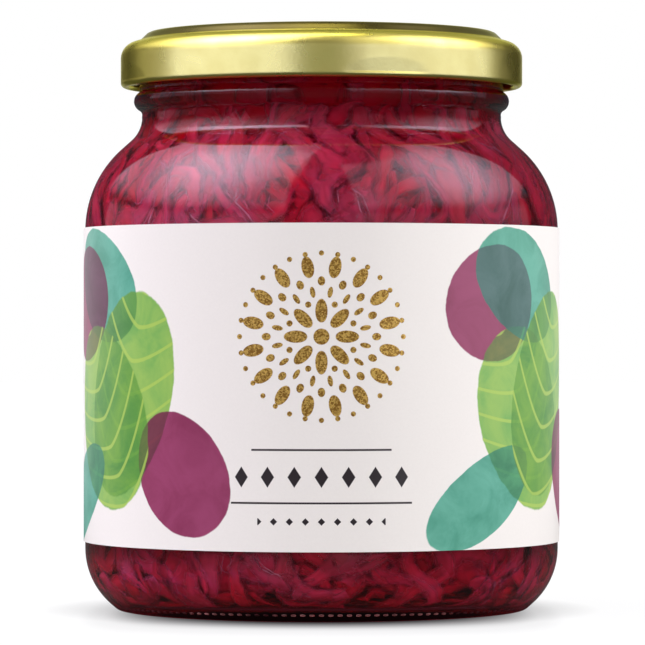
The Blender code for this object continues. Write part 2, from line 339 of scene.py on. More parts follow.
for face in glass_build.faces:
    middle = face.calc_center_median()
    inwards = face.normal.dot(Vector((middle.x, middle.y, 0)).normalized()) < -0.02
    on_floor = middle.z < FLOOR_REACH and face.normal.z > 0.5
    wetted = FLOOR_HEIGHT - 0.0002 < middle.z < BRINE_HEIGHT and (inwards or on_floor)
    on_bead = abs(middle.z - BEAD_HEIGHT) < BEAD_RADIUS
    face.material_index = 1 if wetted else 2 * (middle.z > NECK_FOOT and not on_bead)
print(sum(face.material_index == 1 for face in glass_build.faces), "wetted faces")

glass_jar = piece("clear_jar", glass_build, sharp=80)
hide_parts("glass_jar")

# %% [markdown]
# Seen through the foot, the knurls gather what light there is and show as a row of pale dots. A row of
# small frosted beads inside the foot stands for that glint, because the relief itself is too fine to catch
# it. The glint is a painted highlight in the beads' colour, brightest in front and towards their rims.

# %% The row of glints
GLINT_RADIUS = 0.0344
GLINT_HEIGHT = 0.0017
GLINT_SIZE = (0.0003, 0.00048, 0.00026)

glint_build = bmesh.new()
for count in range(KNURLS):
    turn = Matrix.Rotation(math.tau * count / KNURLS, 4, "Z")
    shift = Matrix.Translation((GLINT_RADIUS, 0, GLINT_HEIGHT))
    shape = Matrix.Diagonal((*GLINT_SIZE, 1))
    bmesh.ops.create_icosphere(glint_build, subdivisions=1, radius=1.0, matrix=turn @ shift @ shape)
glints = piece("knurl_glints", glint_build)

# %% [markdown]
# ## The lid
#
# A twist-off lid is pressed from thin tinplate: a sunk panel with a low button, a ridge round the top, a
# rounded shoulder, a straight skirt and a rolled edge. It is drawn as one outline of the outside, turned,
# and given its thickness by the Solidify operator. Pressing the lugs in leaves a faint arch in the skirt.

# %% Turn the lid
LID_RADIUS = 0.03425
LID_TOP = 0.0982
LID_BOTTOM = 0.08885
LID_METAL = 0.0003
LID_SHOULDER = 0.0028
LID_LEDGE = 0.0966
RIDGE_RADIUS = 0.0300
RIDGE_FOOT = 0.0312
RIDGE_WIDTH = 0.0014
PANEL_DROP = 0.0012
BUTTON_RADIUS = 0.0130
BUTTON_RISE = 0.00035
CURL_RADIUS = 0.00075
LID_STEPS = 288

lid_build = bmesh.new()
panel = LID_TOP - PANEL_DROP
lid_corner = start_at(lid_build, 0, panel + BUTTON_RISE)
crest = RIDGE_RADIUS - RIDGE_WIDTH
for r, z, steps in (
    (BUTTON_RADIUS - 0.001, panel + BUTTON_RISE, 4),
    (BUTTON_RADIUS, panel, 2),
    (crest - 0.0008, panel, 4),
    (crest - 0.0002, LID_TOP - 0.0005, 2),
    (crest + 0.0001, LID_TOP - 0.00012, 1),
    (crest + 0.0005, LID_TOP, 1),
    (RIDGE_RADIUS - 0.0006, LID_TOP - 0.00002, 1),
    (RIDGE_RADIUS - 0.0002, LID_TOP - 0.0002, 1),
    (RIDGE_FOOT - 0.0001, LID_LEDGE + 0.00015, 3),
    (RIDGE_FOOT + 0.0001, LID_LEDGE + 0.00002, 1),
    (LID_RADIUS - LID_SHOULDER, LID_LEDGE, 1),
):
    lid_corner = line_to(lid_build, lid_corner, r, z, steps)
lid_corner = arc_about(lid_build, lid_corner, LID_RADIUS - LID_SHOULDER, LID_LEDGE - LID_SHOULDER, -90, 12)
lid_corner = line_to(lid_build, lid_corner, LID_RADIUS, LID_BOTTOM + CURL_RADIUS, 24)
curl_centre = (LID_RADIUS - CURL_RADIUS, LID_BOTTOM + CURL_RADIUS)
lid_corner = arc_about(lid_build, lid_corner, *curl_centre, -250, 14)
turn_round(lid_build, LID_STEPS)
print("lid:", len(lid_build.verts), "corners")

# %% [markdown]
# The lugs are where the rolled edge is pushed in to reach under the glass threads. Four smooth pushes do
# it, and a shallower one follows an arch in the skirt above each lug.

# %% Press the lugs
LUG_HALF = math.radians(8)
LUG_DEPTH = 0.0012
PRESS_HALF = 0.0069
PRESS_RISE = 0.0021
PRESS_DEPTH = 0.00016


def step_up(x):
    """0 below 0, 1 above 1, and a smooth step between."""
    x = min(max(x, 0.0), 1.0)
    return x * x * (3 - 2 * x)


for corner in lid_build.verts:
    radius = corner.co.xy.length
    round_by = from_nearest_start(math.atan2(corner.co.y, corner.co.x))
    over_curl = corner.co.z - (LID_BOTTOM + CURL_RADIUS)
    if abs(over_curl) < 0.0008 and radius < LID_RADIUS - 0.0011:
        push_out(corner, -LUG_DEPTH * step_up((LUG_HALF - abs(round_by)) / 0.03))
    elif 0.0001 < over_curl < 0.004 and radius > LID_RADIUS - ON_SKIN:
        across = round_by * LID_RADIUS / PRESS_HALF
        arch = 0.0005 + PRESS_RISE * math.sqrt(max(0.0, 1 - across * across))
        inside_arch = max(0.0, arch - over_curl) / (PRESS_RISE + 0.0005) * (abs(across) < 1)
        push_out(corner, -PRESS_DEPTH * inside_arch)

bmesh.ops.solidify(lid_build, geom=lid_build.faces[:], thickness=LID_METAL)
lid = piece("gold_lid", lid_build, sharp=50)
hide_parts("twist_lid")

# %% [markdown]
# ## The label
#
# A wrap label is one strip of coated paper, longer than the way round, so its ends overlap at the back. It
# is spun a little more than a full turn from an upright line. The last part of the turn is then eased
# outwards to lie on the first, and Solidify gives the paper its thickness.

# %% Wrap the label
LABEL_BOTTOM = 0.0117
LABEL_TOP = 0.0649
LABEL_RADIUS = 0.04056
PAPER = 0.00009
LABEL_STEPS = 368
OVERLAP = math.radians(8)
BACK = math.radians(90)

label_build = bmesh.new()
label_corner = start_at(label_build, LABEL_RADIUS, LABEL_BOTTOM)
line_to(label_build, label_corner, LABEL_RADIUS, LABEL_TOP, 6)
bmesh.ops.spin(
    label_build,
    geom=label_build.verts[:] + label_build.edges[:],
    cent=(0, 0, 0),
    axis=(0, 0, 1),
    angle=math.tau + OVERLAP,
    steps=LABEL_STEPS,
)
label_build.verts.ensure_lookup_table()
per_line = len(label_build.verts) // (LABEL_STEPS + 1)
for index, corner in enumerate(label_build.verts):
    turned = (index // per_line) / LABEL_STEPS * (math.tau + OVERLAP)
    push_out(corner, (PAPER + 0.00002) * step_up((turned - math.tau + 0.02) / 0.02))
bmesh.ops.rotate(label_build, verts=label_build.verts, cent=(0, 0, 0), matrix=Matrix.Rotation(BACK, 3, "Z"))
bmesh.ops.recalc_face_normals(label_build, faces=label_build.faces)
bmesh.ops.solidify(label_build, geom=label_build.faces[:], thickness=PAPER)
reach = [corner.co.xy.length * 1000 for corner in label_build.verts]
print("label from", round(min(reach), 3), "to", round(max(reach), 3), "mm from the axis")
label = piece("paper_label", label_build)


# %% [markdown]
# ## What fills the jar
#
# The filling is wet shreds packed against the glass, with ruby brine between them and a dense mass behind.
# It is built in that order from the inside: a lumpy core that hides the middle, the shreds that lie on the
# wall and the floor, and the brine round them all. The brine has no solid in the CAD model.

# %% The core
CORE_INSET = 0.0029
CORE_STEPS = 120
CORE_RELIEF = 0.0011
FILL_HEIGHT = 0.0910

core_build = bmesh.new()
core_corner = start_at(core_build, 0, FILL_HEIGHT - 0.0005)
core_corner = line_to(core_build, core_corner, NECK_RADIUS - WALL - CORE_INSET, FILL_HEIGHT - 0.0005, 8)
draw_inside(core_build, core_corner, CORE_INSET, rings=24)
turn_round(core_build, CORE_STEPS)


def lumps(place, scale):
    """Soft uneven waves, from about -1 to 1."""
    x, y, z = place * (1 / scale)
    first = math.sin(1.9 * x + 0.8 * z) * math.cos(1.3 * y - 1.1 * z)
    second = math.sin(2.9 * y + 1.7 * x) * math.cos(2.3 * z + 0.6 * x)
    return 0.6 * first + 0.4 * second


for corner in core_build.verts:
    push_out(corner, CORE_RELIEF * lumps(corner.co, 0.004) * min(1.0, corner.co.xy.length / 0.02))
core = piece("cabbage_core", core_build)
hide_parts("sauerkraut")

# %% [markdown]
# The wall that the shreds lie on is the inside of the glass. Its outline is needed as a track: for a
# distance along it, a radius, a height and the direction of the glass. The same operators draw it again in
# a bmesh of its own, and its points are read off as arrays.

# %% The track along the glass
track_build = bmesh.new()
track_start = start_at(track_build, NECK_RADIUS - WALL, FILL_HEIGHT + 0.002)
draw_inside(track_build, track_start, rings=60)
track = np.array([(corner.co.x, corner.co.z) for corner in track_build.verts])[::-1]
track_build.free()
track_lengths = np.hypot(*np.diff(track, axis=0).T)
track_along = np.concatenate([[0.0], np.cumsum(track_lengths)])
slopes = np.gradient(track, track_along, axis=0)
print("track:", len(track), "points,", round(track_along[-1] * 1000, 1), "mm from the floor's middle")


def on_wall(along, turn, depth):
    """Points at distances along the track, angles round the axis, and depths in from the glass."""
    along = np.clip(along, 0.0, track_along[-1])
    radius = np.interp(along, track_along, track[:, 0])
    height = np.interp(along, track_along, track[:, 1])
    slope_r = np.interp(along, track_along, slopes[:, 0])
    slope_z = np.interp(along, track_along, slopes[:, 1])
    length = np.hypot(slope_r, slope_z)
    radius = radius - depth * slope_z / length
    height = height + depth * slope_r / length
    return np.stack([radius * np.cos(turn), radius * np.sin(turn), height], axis=-1)


# %% [markdown]
# A shred is a thin strip cut from a cabbage leaf. One plain strip is made with the grid and solidify
# operators, and NumPy lays more than a thousand copies on the wall at once: each wanders along the glass,
# twists, dives into the brine and comes back, and is pressed flat where it meets the wall. One mesh holds
# them all, and three attributes keep what the material needs: a shade for each shred, and the places across
# and along it.

# %% One plain strip
STRIP_STEPS = 10

strip_build = bmesh.new()
bmesh.ops.create_grid(strip_build, x_segments=STRIP_STEPS, y_segments=1, size=1.0)
bmesh.ops.solidify(strip_build, geom=strip_build.faces[:], thickness=2.0)
strip_build.verts.ensure_lookup_table()
strip_corners = np.array([corner.co[:] for corner in strip_build.verts])
strip_corners[:, 2] -= (strip_corners[:, 2].max() + strip_corners[:, 2].min()) / 2
strip_faces = [[corner.index for corner in face.verts] for face in strip_build.faces]
strip_build.free()
print("strip:", len(strip_faces), "faces, from", strip_corners.min(0), "to", strip_corners.max(0))


# %% Lay shreds on the wall
NEAREST = 0.00012
SOFT_PRESS = 0.00035


def press(depth):
    """Keeps a depth behind the glass, with a soft start, so that a pressed shred still has two sides."""
    past = depth - NEAREST
    return NEAREST + 0.5 * (past + np.sqrt(past * past + SOFT_PRESS * SOFT_PRESS)) - SOFT_PRESS * 0.25


def lay_shreds(draw, count, stretch, lengths, widths, depths, upright=0.0):
    """The corners of shreds on one stretch of the track, and what their attributes say."""

    def pick(low, high):
        """One value for each shred."""
        return draw.uniform(low, high, (count, 1))

    share = np.linspace(0, 1, STRIP_STEPS + 1)[None, :]
    middle = pick(*stretch)
    turn = pick(-math.pi, math.pi)
    length = pick(*lengths)
    width = pick(*widths)
    heading = pick(0, math.tau)
    lean = np.where(np.sin(heading) < 0, -math.pi / 2, math.pi / 2)
    heading = heading + upright * (lean - np.arctan2(np.sin(heading), np.cos(heading)))
    bend = draw.normal(0, 1.1, (count, 1)) * (share - 0.5)
    waver = pick(0.2, 0.9) * np.sin(share * pick(3, 9) + turn * 7)
    heading = heading + bend + waver
    step = length / STRIP_STEPS
    along = np.cumsum(np.sin(heading), axis=1) * step
    sideways = np.cumsum(np.cos(heading), axis=1) * step
    along = along - along.mean(axis=1, keepdims=True)
    sideways = sideways - sideways.mean(axis=1, keepdims=True)
    depth = pick(0, 1) ** 1.3 * (depths[1] - depths[0]) + depths[0]
    dive = pick(0.1, 0.7) * 0.001
    depth = depth + dive * np.sin(share * pick(2, 8) + turn * 5)
    twist = draw.normal(0, 0.18, (count, 1)) + draw.normal(0, 0.35, (count, 1)) * (share - 0.5)
    taper = 0.45 + 0.55 * np.sin(np.pi * np.clip(share * 0.94 + 0.03, 0, 1)) ** 0.5
    ruffle = 1 + 0.28 * np.sin(share * pick(6, 16) + turn * 9)
    half_width = width / 2 * taper * ruffle
    half_thick = pick(0.00014, 0.00028) * taper
    at = np.rint((strip_corners[:, 0] + 1) / 2 * STRIP_STEPS).astype(int)
    across = strip_corners[None, :, 1] * half_width[:, at]
    through = strip_corners[None, :, 2] * half_thick[:, at]
    tilt = twist[:, at]
    flat = across * np.cos(tilt) - through * np.sin(tilt)
    deep = across * np.sin(tilt) + through * np.cos(tilt)
    pointing = heading[:, at]
    corner_along = middle + along[:, at] + np.cos(pointing) * flat
    corner_side = sideways[:, at] - np.sin(pointing) * flat
    radius = np.interp(middle, track_along, track[:, 0])
    corner_depth = press(depth[:, at] + deep)
    places = on_wall(corner_along, turn + corner_side / np.maximum(radius, 0.006), corner_depth)
    shade = np.broadcast_to(pick(0, 1), across.shape)
    edge = np.broadcast_to(strip_corners[None, :, 1], across.shape)
    run = share[:, at] * length + shade
    return places.reshape(-1, 3), shade.ravel(), edge.ravel(), run.ravel()


def shred_mesh(name, batches):
    places, shades, edges, runs = (np.concatenate(parts) for parts in zip(*batches))
    places[:, 2] = np.minimum(places[:, 2], FILL_HEIGHT + 0.002)
    per_strip = len(strip_corners)
    count = len(places) // per_strip
    faces = [[n * per_strip + i for i in face] for n in range(count) for face in strip_faces]
    mesh = bpy.data.meshes.new(name)
    mesh.from_pydata(places, [], faces)
    for title, values in (("shade", shades), ("across", edges), ("run", runs)):
        mesh.attributes.new(title, "FLOAT", "POINT").data.foreach_set("value", values.astype(np.float32))
    print(name, count, "shreds")
    return piece_of_mesh(name, mesh, sharp=180)


# %% [markdown]
# The shreds lie thickest where the glass shows them: on the shoulder and in the neck, round the heel, and
# on the floor. On the shoulder most of them hang down from the neck. Behind the label there are none, as
# nothing shows there.

# %% Long and short shreds
draw = np.random.default_rng(7)
floor_edge = np.interp(0.0321, track[:60, 0], track_along[:60])
shoulder = floor_edge + 0.0605
batches = [
    lay_shreds(
        draw,
        560,
        stretch=(shoulder, shoulder + 0.021),
        lengths=(0.010, 0.026),
        widths=(0.0026, 0.0064),
        depths=(0.0001, 0.0040),
        upright=0.5,
    ),
    lay_shreds(
        draw,
        150,
        stretch=(shoulder + 0.018, shoulder + 0.031),
        lengths=(0.008, 0.018),
        widths=(0.0022, 0.0046),
        depths=(0.0014, 0.0045),
        upright=0.3,
    ),
    lay_shreds(
        draw,
        430,
        stretch=(floor_edge, floor_edge + 0.0135),
        lengths=(0.010, 0.022),
        widths=(0.0028, 0.0064),
        depths=(0.0002, 0.0040),
    ),
    lay_shreds(
        draw,
        240,
        stretch=(0.004, floor_edge),
        lengths=(0.010, 0.020),
        widths=(0.0024, 0.0054),
        depths=(0.0004, 0.0040),
    ),
]
shreds = shred_mesh("cabbage_shreds", batches)
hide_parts("sauerkraut")

# %% The brine
BRINE_REACH = 0.00015
BRINE_STEPS = 288

brine_build = bmesh.new()
brine_corner = start_at(brine_build, 0, BRINE_HEIGHT)
brine_corner = line_to(brine_build, brine_corner, NECK_RADIUS - WALL + BRINE_REACH, BRINE_HEIGHT, 6)
draw_inside(brine_build, brine_corner, -BRINE_REACH)
turn_round(brine_build, BRINE_STEPS)
brine = piece("ruby_brine", brine_build)

# %% [markdown]
# ## Building materials from nodes
#
# Materials could be clicked together in the editor. In a script, small helpers keep them readable: one adds
# a node, one links a socket or sets a plain value, and the others are the sums that come up again and
# again.

# %% Node helpers
def add(tree, kind, **settings):
    made = tree.nodes.new("ShaderNode" + kind)
    for name, value in settings.items():
        setattr(made, name, value)
    return made


def feed(tree, socket, value):
    if isinstance(value, bpy.types.NodeSocket):
        tree.links.new(value, socket)
    else:
        socket.default_value = value


def sums(tree, operation, *values):
    made = add(tree, "Math", operation=operation)
    for socket, value in zip(made.inputs, values):
        feed(tree, socket, value)
    return made.outputs[0]


def times(tree, first, *others):
    """The product of values and sockets."""
    for other in others:
        first = sums(tree, "MULTIPLY", first, other)
    return first


def vectors(tree, operation, *values, result="Vector"):
    made = add(tree, "VectorMath", operation=operation)
    for socket, value in zip(made.inputs, values):
        feed(tree, socket, value)
    return made.outputs[result]


def length_of(tree, vector):
    return vectors(tree, "LENGTH", vector, result="Value")


def combined(tree, x, y, z=0.0):
    made = add(tree, "CombineXYZ")
    for socket, value in zip(made.inputs, (x, y, z)):
        feed(tree, socket, value)
    return made.outputs[0]


def axes_of(tree, vector):
    made = add(tree, "SeparateXYZ")
    feed(tree, made.inputs[0], vector)
    return made.outputs


def ramp(tree, value, low, high, to_low=0.0, to_high=1.0):
    """A smooth step from to_low to to_high as a value goes from low to high."""
    made = add(tree, "MapRange", interpolation_type="SMOOTHSTEP")
    for socket, number in zip(made.inputs, (value, low, high, to_low, to_high)):
        feed(tree, socket, number)
    return made.outputs[0]


def mix(tree, share, first, second, blend="MIX"):
    made = add(tree, "Mix", data_type="RGBA", blend_type=blend)
    feed(tree, made.inputs[0], share)
    feed(tree, made.inputs[6], first)
    feed(tree, made.inputs[7], second)
    return made.outputs[2]


def noise(tree, place, scale, detail=2.0, roughness=0.5, distortion=0.0):
    made = add(tree, "TexNoise")
    feed(tree, made.inputs["Vector"], place)
    made.inputs["Scale"].default_value = scale
    made.inputs["Detail"].default_value = detail
    made.inputs["Roughness"].default_value = roughness
    made.inputs["Distortion"].default_value = distortion
    return made.outputs["Fac"]


def bumped(tree, height, strength, distance, normal=None):
    made = add(tree, "Bump")
    made.inputs["Strength"].default_value = strength
    made.inputs["Distance"].default_value = distance
    feed(tree, made.inputs["Height"], height)
    if normal is not None:
        feed(tree, made.inputs["Normal"], normal)
    return made.outputs["Normal"]


def new_material(name, **sockets):
    """A Principled material with plain values set, its node tree and its shader."""
    made = bpy.data.materials.new(name)
    made.use_nodes = True
    shader = made.node_tree.nodes["Principled BSDF"]
    for socket, value in sockets.items():
        shader.inputs[socket.replace("_", " ")].default_value = value
    return made, made.node_tree, shader


def srgb(red, green, blue):
    """A colour as a paint chart gives it, 0 to 255, made linear for the shader."""
    parts = [c / 255 for c in (red, green, blue)]
    return tuple(p / 12.92 if p < 0.04045 else ((p + 0.055) / 1.055) ** 2.4 for p in parts) + (1.0,)


# %% [markdown]
# ## Clear glass and ruby brine
#
# Both are see-through, so light has to get in to reach the cabbage. Refracted light is slow to find its
# way, so for the lamps' rays alone each is mixed with a plain transparent shader. The brine takes up green
# and blue light along its way, so the shreds look redder the deeper they lie, as they do in beetroot juice.

# %% Two see-through materials
def choose_by(tree, share, first, second):
    """Puts out the first shader where share is 0, and the second where it is 1."""
    choose = add(tree, "MixShader")
    for socket, value in zip(choose.inputs, (share, first.outputs[0], second.outputs[0])):
        tree.links.new(value, socket)
    tree.links.new(choose.outputs[0], tree.nodes["Material Output"].inputs["Surface"])


def let_lamps_through(tree, shader, colour):
    clear = add(tree, "BsdfTransparent")
    clear.inputs["Color"].default_value = colour
    choose_by(tree, add(tree, "LightPath").outputs["Is Shadow Ray"], shader, clear)


# neck_glass has its shine turned down: a painted shade on the neck's reflection.
for name, gloss in (("jar_glass", 1.0), ("wetted_glass", 0.07), ("neck_glass", 0.11)):
    glass, tree, shader = new_material(name, Transmission_Weight=1.0, IOR=1.5, Roughness=0.0)
    feed(tree, shader.inputs["Base Color"], (0.985, 0.992, 0.988, 1))
    feed(tree, shader.inputs["Specular Tint"], (gloss, gloss, gloss, 1))
    place = add(tree, "TexCoord").outputs["Object"]
    mould_waves = noise(tree, place, 90, 2)
    feed(tree, shader.inputs["Normal"], bumped(tree, mould_waves, 0.25, 0.00015))
    let_lamps_through(tree, shader, (0.97, 0.98, 0.975, 1))
    glass_jar.data.materials.append(glass)

frosted, tree, shader = new_material("frosted_glints", Roughness=0.4)
place = add(tree, "TexCoord").outputs["Object"]
# Painted highlight: each bead is pale where the noise picks it, in front of the jar and towards its rim,
# and dark elsewhere.
patchy_glint = ramp(tree, noise(tree, place, 60, 2), 0.3, 0.5)
in_front = ramp(tree, axes_of(tree, place)["Y"], -0.0262, -0.0290)
rim = ramp(tree, add(tree, "LayerWeight").outputs["Facing"], 0.1, 0.6, 0.35, 1.0)
lit = times(tree, patchy_glint, in_front, rim)
feed(tree, shader.inputs["Base Color"], mix(tree, lit, (0.06, 0.005, 0.008, 1), (0.85, 0.48, 0.42, 1)))
glints.data.materials.append(frosted)

juice, tree, shader = new_material("ruby_juice", Transmission_Weight=1.0, IOR=1.34, Roughness=0.0)
feed(tree, shader.inputs["Base Color"], (1, 1, 1, 1))
feed(tree, shader.inputs["Specular Tint"], (0, 0, 0, 1))
let_lamps_through(tree, shader, (1, 1, 1, 1))
soak = add(tree, "VolumeAbsorption")
soak.inputs["Color"].default_value = (0.93, 0.038, 0.442, 1)
soak.inputs["Density"].default_value = 520
tree.links.new(soak.outputs[0], tree.nodes["Material Output"].inputs["Volume"])
brine.data.materials.append(juice)

# %% [markdown]
# ## Dyed cabbage
#
# A shred is pale inside and takes its colour from the juice, so no two are quite alike: some are a light
# crimson and some are deep ruby. A few carry a painted highlight, a pale line along a cut edge. It is thin
# enough to see through a little, and it is made thinner still for the lamps' rays, so that the shreds
# beneath are lit too.

# %% Shreds and core
def painted_lid_shade(tree, place, colour):
    """Painted shade: the top of the pile, under the lid, is darkened in its colour."""
    share = ramp(tree, axes_of(tree, place)["Z"], 0.0790, 0.0870, 0.0, 0.7)
    return mix(tree, share, colour, (0.14, 0.004, 0.012, 1))


PILE_SHARE = 2.2

dyed, tree, shader = new_material("dyed_shreds", Roughness=0.45, Specular_IOR_Level=0.2)
shader.inputs["Subsurface Weight"].default_value = 0.6
shader.inputs["Subsurface Scale"].default_value = 1.0
shader.inputs["Subsurface Radius"].default_value = (0.0030, 0.0008, 0.0014)
place = add(tree, "TexCoord").outputs["Object"]
shade, across, run = (
    add(tree, "Attribute", attribute_name=title).outputs["Fac"] for title in ("shade", "across", "run")
)
lengthways = combined(tree, times(tree, run, 110.0), times(tree, across, 0.9), times(tree, shade, 60.0))
fibre = noise(tree, lengthways, 1.0, 2, 0.5, 0.3)
cloud = noise(tree, place, 140, 2)
tone = sums(tree, "ADD", times(tree, shade, 0.4), times(tree, cloud, 0.5))
tone = ramp(tree, sums(tree, "MULTIPLY_ADD", fibre, 0.4, tone), 0.35, 1.05)
colour = mix(tree, tone, (0.54, 0.009, 0.032, 1), (0.62, 0.033, 0.092, 1))
from_edge = sums(tree, "ABSOLUTE", across)
# Painted highlight: a pale line along the cut edges of some shreds.
edge_highlight_band = ramp(tree, from_edge, 0.86, 0.97)
line = times(tree, edge_highlight_band, ramp(tree, cloud, 0.52, 0.66), ramp(tree, shade, 0.5, 0.9), 0.6)
colour = mix(tree, line, colour, (0.80, 0.36, 0.50, 1))
# The top of the pile gets painted shade from the lid.
feed(tree, shader.inputs["Base Color"], painted_lid_shade(tree, place, colour))
solid = times(tree, ramp(tree, from_edge, 1.0, 0.3), ramp(tree, fibre, 0.25, 0.75, 0.35, 0.95))
solid = sums(tree, "MAXIMUM", solid, line)
lamp_rays = add(tree, "LightPath").outputs["Is Shadow Ray"]
kept = sums(tree, "MULTIPLY_ADD", lamp_rays, -0.6, 1.0)
feed(tree, shader.inputs["Alpha"], times(tree, solid, kept))

# Light wanders through a pile, so each shred is lit more as the whole pile is than as its own side faces.
outwards = vectors(tree, "NORMALIZE", vectors(tree, "MULTIPLY", place, (1, 1, 0)))
outwards = vectors(tree, "MULTIPLY", outwards, (PILE_SHARE, PILE_SHARE, PILE_SHARE))
own = add(tree, "NewGeometry").outputs["Normal"]
softened = vectors(tree, "NORMALIZE", vectors(tree, "ADD", own, outwards))
feed(tree, shader.inputs["Normal"], bumped(tree, fibre, 0.3, 0.0002, softened))
shreds.data.materials.append(dyed)

deep, tree, shader = new_material("packed_cabbage", Roughness=0.5, Specular_IOR_Level=0.1)
place = add(tree, "TexCoord").outputs["Object"]
clumps = noise(tree, place, 260, 4, 0.6, 1.0)
colour = mix(tree, ramp(tree, clumps, 0.3, 0.75), (0.56, 0.02, 0.05, 1), (0.62, 0.04, 0.10, 1))
# The top of the core gets painted shade from the lid.
feed(tree, shader.inputs["Base Color"], painted_lid_shade(tree, place, colour))
feed(tree, shader.inputs["Normal"], bumped(tree, clumps, 0.5, 0.0005))
core.data.materials.append(deep)

# %% [markdown]
# ## Gold lacquer
#
# The tinplate is coated with a clear gold lacquer over a satin sheet. The metal gives a broad soft
# highlight, and a thin glossy coat a faint sharper one. Up close the sheet has the fine peel of rolled,
# lacquered metal. The photograph shows the outer side of the top ridge as a dark line, so painted shade
# deepens its colour there.

# %% Satin gold
gold, tree, shader = new_material("gold_lacquer", Metallic=1.0, Coat_Weight=0.35, Coat_Roughness=0.25)
shader.inputs["Coat IOR"].default_value = 1.8
shader.inputs["Specular Tint"].default_value = (0.9, 0.9, 0.05, 1)
place = add(tree, "TexCoord").outputs["Object"]
peel = noise(tree, place, 2200, 2, 0.5)
haze = noise(tree, place, 220, 2)
colour = mix(tree, ramp(tree, haze, 0.3, 0.7), srgb(235, 226, 111), srgb(229, 218, 103))
away = length_of(tree, vectors(tree, "MULTIPLY", place, (1, 1, 0)))
above_ledge = ramp(tree, axes_of(tree, place)["Z"], LID_LEDGE + 0.0001, LID_LEDGE + 0.0004)
# Painted shade: the outer side of the top ridge gets a deeper colour.
painted_ridge_shade = times(tree, above_ledge, ramp(tree, away, RIDGE_RADIUS - 0.0008, RIDGE_RADIUS - 0.0002))
colour = mix(tree, painted_ridge_shade, colour, srgb(90, 80, 6))
feed(tree, shader.inputs["Base Color"], colour)
feed(tree, shader.inputs["Roughness"], ramp(tree, haze, 0.2, 0.8, 0.26, 0.34))
feed(tree, shader.inputs["Normal"], bumped(tree, peel, 0.2, 0.00006))
lid.data.materials.append(gold)

# %% [markdown]
# ## The label's print
#
# The pattern is drawn flat, in millimetres round the label and up it, so the first step unrolls the
# surface: the angle round the axis times the radius gives the way round. Each shape is a field of watery
# colour inside a soft-edged ellipse, and the inks multiply where they overlap, as transparent inks do on
# paper.

# %% Unroll the label
paper, tree, shader = new_material("printed_label", Roughness=0.42, Coat_Weight=0.25, Coat_Roughness=0.25)
place = add(tree, "TexCoord").outputs["Object"]
x, y, z = axes_of(tree, place)
turned = sums(tree, "ARCTAN2", x, times(tree, y, -1.0))
flat = combined(tree, times(tree, turned, LABEL_RADIUS * 1000), times(tree, z, 1000.0))
grain = noise(tree, place, 2600, 2)
wash = noise(tree, place, 130, 4, 0.6, 0.8)
speck = noise(tree, place, 900, 2)
ragged = noise(tree, place, 420, 3)


# %% Ellipses and stripes
EDGE_BLUR = 0.012
EDGE_WAVER = 0.05
RIPPLES = 6


def ellipse(round_by, up, width, height, tilt):
    """A mask, 1 inside an ellipse whose edge wavers a little, and its local coordinates."""
    local = add(tree, "Mapping", vector_type="TEXTURE")
    feed(tree, local.inputs["Vector"], flat)
    local.inputs["Location"].default_value = (round_by, up, 0)
    local.inputs["Rotation"].default_value = (0, 0, math.radians(tilt))
    local.inputs["Scale"].default_value = (width / 2, height / 2, 1)
    wavering = sums(tree, "MULTIPLY_ADD", ragged, EDGE_WAVER, length_of(tree, local.outputs[0]))
    edge = 1.0 + EDGE_WAVER / 2
    return ramp(tree, wavering, edge + EDGE_BLUR, edge - EDGE_BLUR), local.outputs[0]


def ink(sheet, mask, pale, full):
    """Lays a watery colour over the sheet inside a mask."""
    tint = mix(tree, ramp(tree, wash, 0.3, 0.75), pale, full)
    tint = mix(tree, times(tree, speck, 0.25), tint, pale)
    crossed = mix(tree, 0.7, tint, mix(tree, 1.0, sheet, tint, "MULTIPLY"))
    return mix(tree, mask, sheet, crossed)


def veins(local):
    """Thin lighter lines across a shape, curved a little."""
    x, y, _ = axes_of(tree, local)
    arch = sums(tree, "POWER", sums(tree, "ABSOLUTE", x), 1.5)
    rise = sums(tree, "MULTIPLY_ADD", arch, -0.5, y)
    wave = sums(tree, "PINGPONG", times(tree, rise, RIPPLES), 1.0)
    return ramp(tree, wave, 0.16, 0.08)


CLEAR_OF_SEAM = 112
PLUM = (srgb(160, 62, 108), srgb(138, 38, 84))
GREEN = (srgb(156, 202, 92), srgb(104, 178, 84))
TEAL = (srgb(98, 186, 162), srgb(54, 152, 126))
LIME = srgb(176, 206, 84)
colour = mix(tree, grain, srgb(244, 241, 229), srgb(239, 236, 224))
for shift in (0.0, 85.0, -85.0):
    for up, width, height, tilt, at, inks in (
        (55, 17, 25, 62, -46, TEAL),
        (37, 22, 35, -18, -37.5, GREEN),
        (24, 17, 22, 35, -24.5, PLUM),
        (52, 21, 19, 20, 31.5, PLUM),
        (33, 24, 32, 28, 40.5, GREEN),
        (20, 12, 26, -58, 29, TEAL),
    ):
        if abs(at + shift) > CLEAR_OF_SEAM:
            continue
        mask, local = ellipse(at + shift, up, width, height, tilt)
        colour = ink(colour, mask, *inks)
        if inks is GREEN:
            colour = mix(tree, times(tree, veins(local), mask, 0.7), colour, LIME)

# %% [markdown]
# The middle of the label carries a medallion in gold foil ink, made of rings of petals and dots. One helper
# draws a ring: it divides the turn into equal parts and puts an ellipse in each. The foil sparkles because
# each of its grains reflects in a direction of its own.

# %% The gold medallion
MEDALLION_UP = 46.5

local = vectors(tree, "SUBTRACT", flat, (0, MEDALLION_UP, 0))
x, y, _ = axes_of(tree, local)
away = length_of(tree, local)
bearing = sums(tree, "ARCTAN2", y, x)


def ring_of(count, radius, half_length, half_width, offset=0.0):
    """A ring of ellipses that point outwards."""
    turns = sums(tree, "MULTIPLY_ADD", bearing, count / math.tau, offset)
    share = sums(tree, "SUBTRACT", sums(tree, "FRACT", turns), 0.5)
    sideways = times(tree, share, away, math.tau / count / half_width)
    outwards = sums(tree, "DIVIDE", sums(tree, "SUBTRACT", away, radius), half_length)
    return ramp(tree, length_of(tree, combined(tree, sideways, outwards)), 1.04, 0.96)


